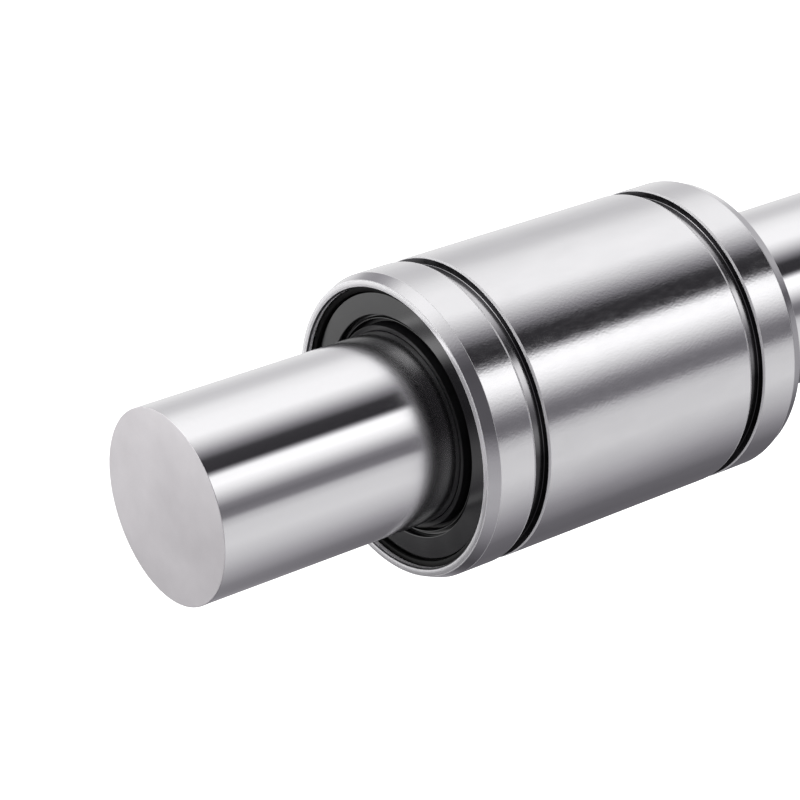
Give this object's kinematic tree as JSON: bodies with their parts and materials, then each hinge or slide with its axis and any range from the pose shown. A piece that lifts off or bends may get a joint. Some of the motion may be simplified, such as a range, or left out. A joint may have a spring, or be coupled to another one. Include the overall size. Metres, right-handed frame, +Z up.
{
  "type": "linear ball bearing",
  "caption": "Closed round linear ball bearing with end seals and recirculating ball circuits, running on a plain ground shaft.",
  "frame": {"origin": "middle of the bearing, on its axis", "axes": "+X along the axis from the front end, which is the near end in the picture, to the rear end; +Z up, through the middle of the first ball circuit"},
  "size_m": [0.1, 0.032, 0.032],
  "materials": {
    "sleeve_steel": "ground bearing steel, satin, with fine marks round it",
    "shaft_steel": "hardened, ground and polished",
    "seal_rubber": "dark grey moulded nitrile rubber, matt",
    "core_steel": "pressed sheet steel",
    "ring_steel": "blackened spring steel",
    "cage_resin": "black moulded acetal",
    "ball_steel": "polished bearing steel"
  },
  "bodies": {
    "bearing": {"outer_sleeve": "sleeve_steel", "ball_cage": "cage_resin", "seal_front": "seal_rubber", "seal_rear": "seal_rubber", "seal_core_front": "core_steel", "seal_core_rear": "core_steel", "snap_ring_front": "ring_steel", "snap_ring_rear": "ring_steel"},
    "shaft": {"shaft": "shaft_steel"},
    "loaded_balls": {"loaded_balls_1": "ball_steel", "loaded_balls_2": "ball_steel", "loaded_balls_3": "ball_steel", "loaded_balls_4": "ball_steel", "loaded_balls_5": "ball_steel"},
    "return_balls": {"return_balls_1": "ball_steel", "return_balls_2": "ball_steel", "return_balls_3": "ball_steel", "return_balls_4": "ball_steel", "return_balls_5": "ball_steel"},
    "front_turn_1": {"front_turn_balls_1": "ball_steel"},
    "front_turn_2": {"front_turn_balls_2": "ball_steel"},
    "front_turn_3": {"front_turn_balls_3": "ball_steel"},
    "front_turn_4": {"front_turn_balls_4": "ball_steel"},
    "front_turn_5": {"front_turn_balls_5": "ball_steel"},
    "rear_turn_1": {"rear_turn_balls_1": "ball_steel"},
    "rear_turn_2": {"rear_turn_balls_2": "ball_steel"},
    "rear_turn_3": {"rear_turn_balls_3": "ball_steel"},
    "rear_turn_4": {"rear_turn_balls_4": "ball_steel"},
    "rear_turn_5": {"rear_turn_balls_5": "ball_steel"}
  },
  "joints": [
    {"name": "shaft_slide", "type": "slide", "parent": "bearing", "child": "shaft", "axis": [1, 0, 0], "range_m": [-0.031, 0.027]},
    {"name": "loaded_lane_roll", "type": "slide", "parent": "bearing", "child": "loaded_balls", "axis": [1, 0, 0], "range_m": [-0.00179, 0.00179]},
    {"name": "return_lane_roll", "type": "slide", "parent": "bearing", "child": "return_balls", "axis": [1, 0, 0], "range_m": [-0.00179, 0.00179]},
    {"name": "front_turn_1_roll", "type": "hinge", "parent": "bearing", "child": "front_turn_1", "pos_m": [-0.01254, 0, 0.01217], "axis": [0, 0, 1], "range_deg": [-45, 45]},
    {"name": "front_turn_2_roll", "type": "hinge", "parent": "bearing", "child": "front_turn_2", "pos_m": [-0.01254, -0.01158, 0.00376], "axis": [0, -0.9511, 0.309], "range_deg": [-45, 45]},
    {"name": "front_turn_3_roll", "type": "hinge", "parent": "bearing", "child": "front_turn_3", "pos_m": [-0.01254, -0.00715, -0.00985], "axis": [0, -0.5878, -0.809], "range_deg": [-45, 45]},
    {"name": "front_turn_4_roll", "type": "hinge", "parent": "bearing", "child": "front_turn_4", "pos_m": [-0.01254, 0.00715, -0.00985], "axis": [0, 0.5878, -0.809], "range_deg": [-45, 45]},
    {"name": "front_turn_5_roll", "type": "hinge", "parent": "bearing", "child": "front_turn_5", "pos_m": [-0.01254, 0.01158, 0.00376], "axis": [0, 0.9511, 0.309], "range_deg": [-45, 45]},
    {"name": "rear_turn_1_roll", "type": "hinge", "parent": "bearing", "child": "rear_turn_1", "pos_m": [0.01254, 0, 0.01217], "axis": [0, 0, 1], "range_deg": [-45, 45]},
    {"name": "rear_turn_2_roll", "type": "hinge", "parent": "bearing", "child": "rear_turn_2", "pos_m": [0.01254, -0.01158, 0.00376], "axis": [0, -0.9511, 0.309], "range_deg": [-45, 45]},
    {"name": "rear_turn_3_roll", "type": "hinge", "parent": "bearing", "child": "rear_turn_3", "pos_m": [0.01254, -0.00715, -0.00985], "axis": [0, -0.5878, -0.809], "range_deg": [-45, 45]},
    {"name": "rear_turn_4_roll", "type": "hinge", "parent": "bearing", "child": "rear_turn_4", "pos_m": [0.01254, 0.00715, -0.00985], "axis": [0, 0.5878, -0.809], "range_deg": [-45, 45]},
    {"name": "rear_turn_5_roll", "type": "hinge", "parent": "bearing", "child": "rear_turn_5", "pos_m": [0.01254, 0.01158, 0.00376], "axis": [0, 0.9511, 0.309], "range_deg": [-45, 45]}
  ],
  "couplings": [
    {"joint": "return_lane_roll", "follows": "loaded_lane_roll", "ratio": -1},
    {"joint": "front_turn_1_roll", "follows": "loaded_lane_roll", "rad_per_m": 438.52},
    {"joint": "front_turn_2_roll", "follows": "loaded_lane_roll", "rad_per_m": 438.52},
    {"joint": "front_turn_3_roll", "follows": "loaded_lane_roll", "rad_per_m": 438.52},
    {"joint": "front_turn_4_roll", "follows": "loaded_lane_roll", "rad_per_m": 438.52},
    {"joint": "front_turn_5_roll", "follows": "loaded_lane_roll", "rad_per_m": 438.52},
    {"joint": "rear_turn_1_roll", "follows": "loaded_lane_roll", "rad_per_m": 438.52},
    {"joint": "rear_turn_2_roll", "follows": "loaded_lane_roll", "rad_per_m": 438.52},
    {"joint": "rear_turn_3_roll", "follows": "loaded_lane_roll", "rad_per_m": 438.52},
    {"joint": "rear_turn_4_roll", "follows": "loaded_lane_roll", "rad_per_m": 438.52},
    {"joint": "rear_turn_5_roll", "follows": "loaded_lane_roll", "rad_per_m": 438.52}
  ]
}
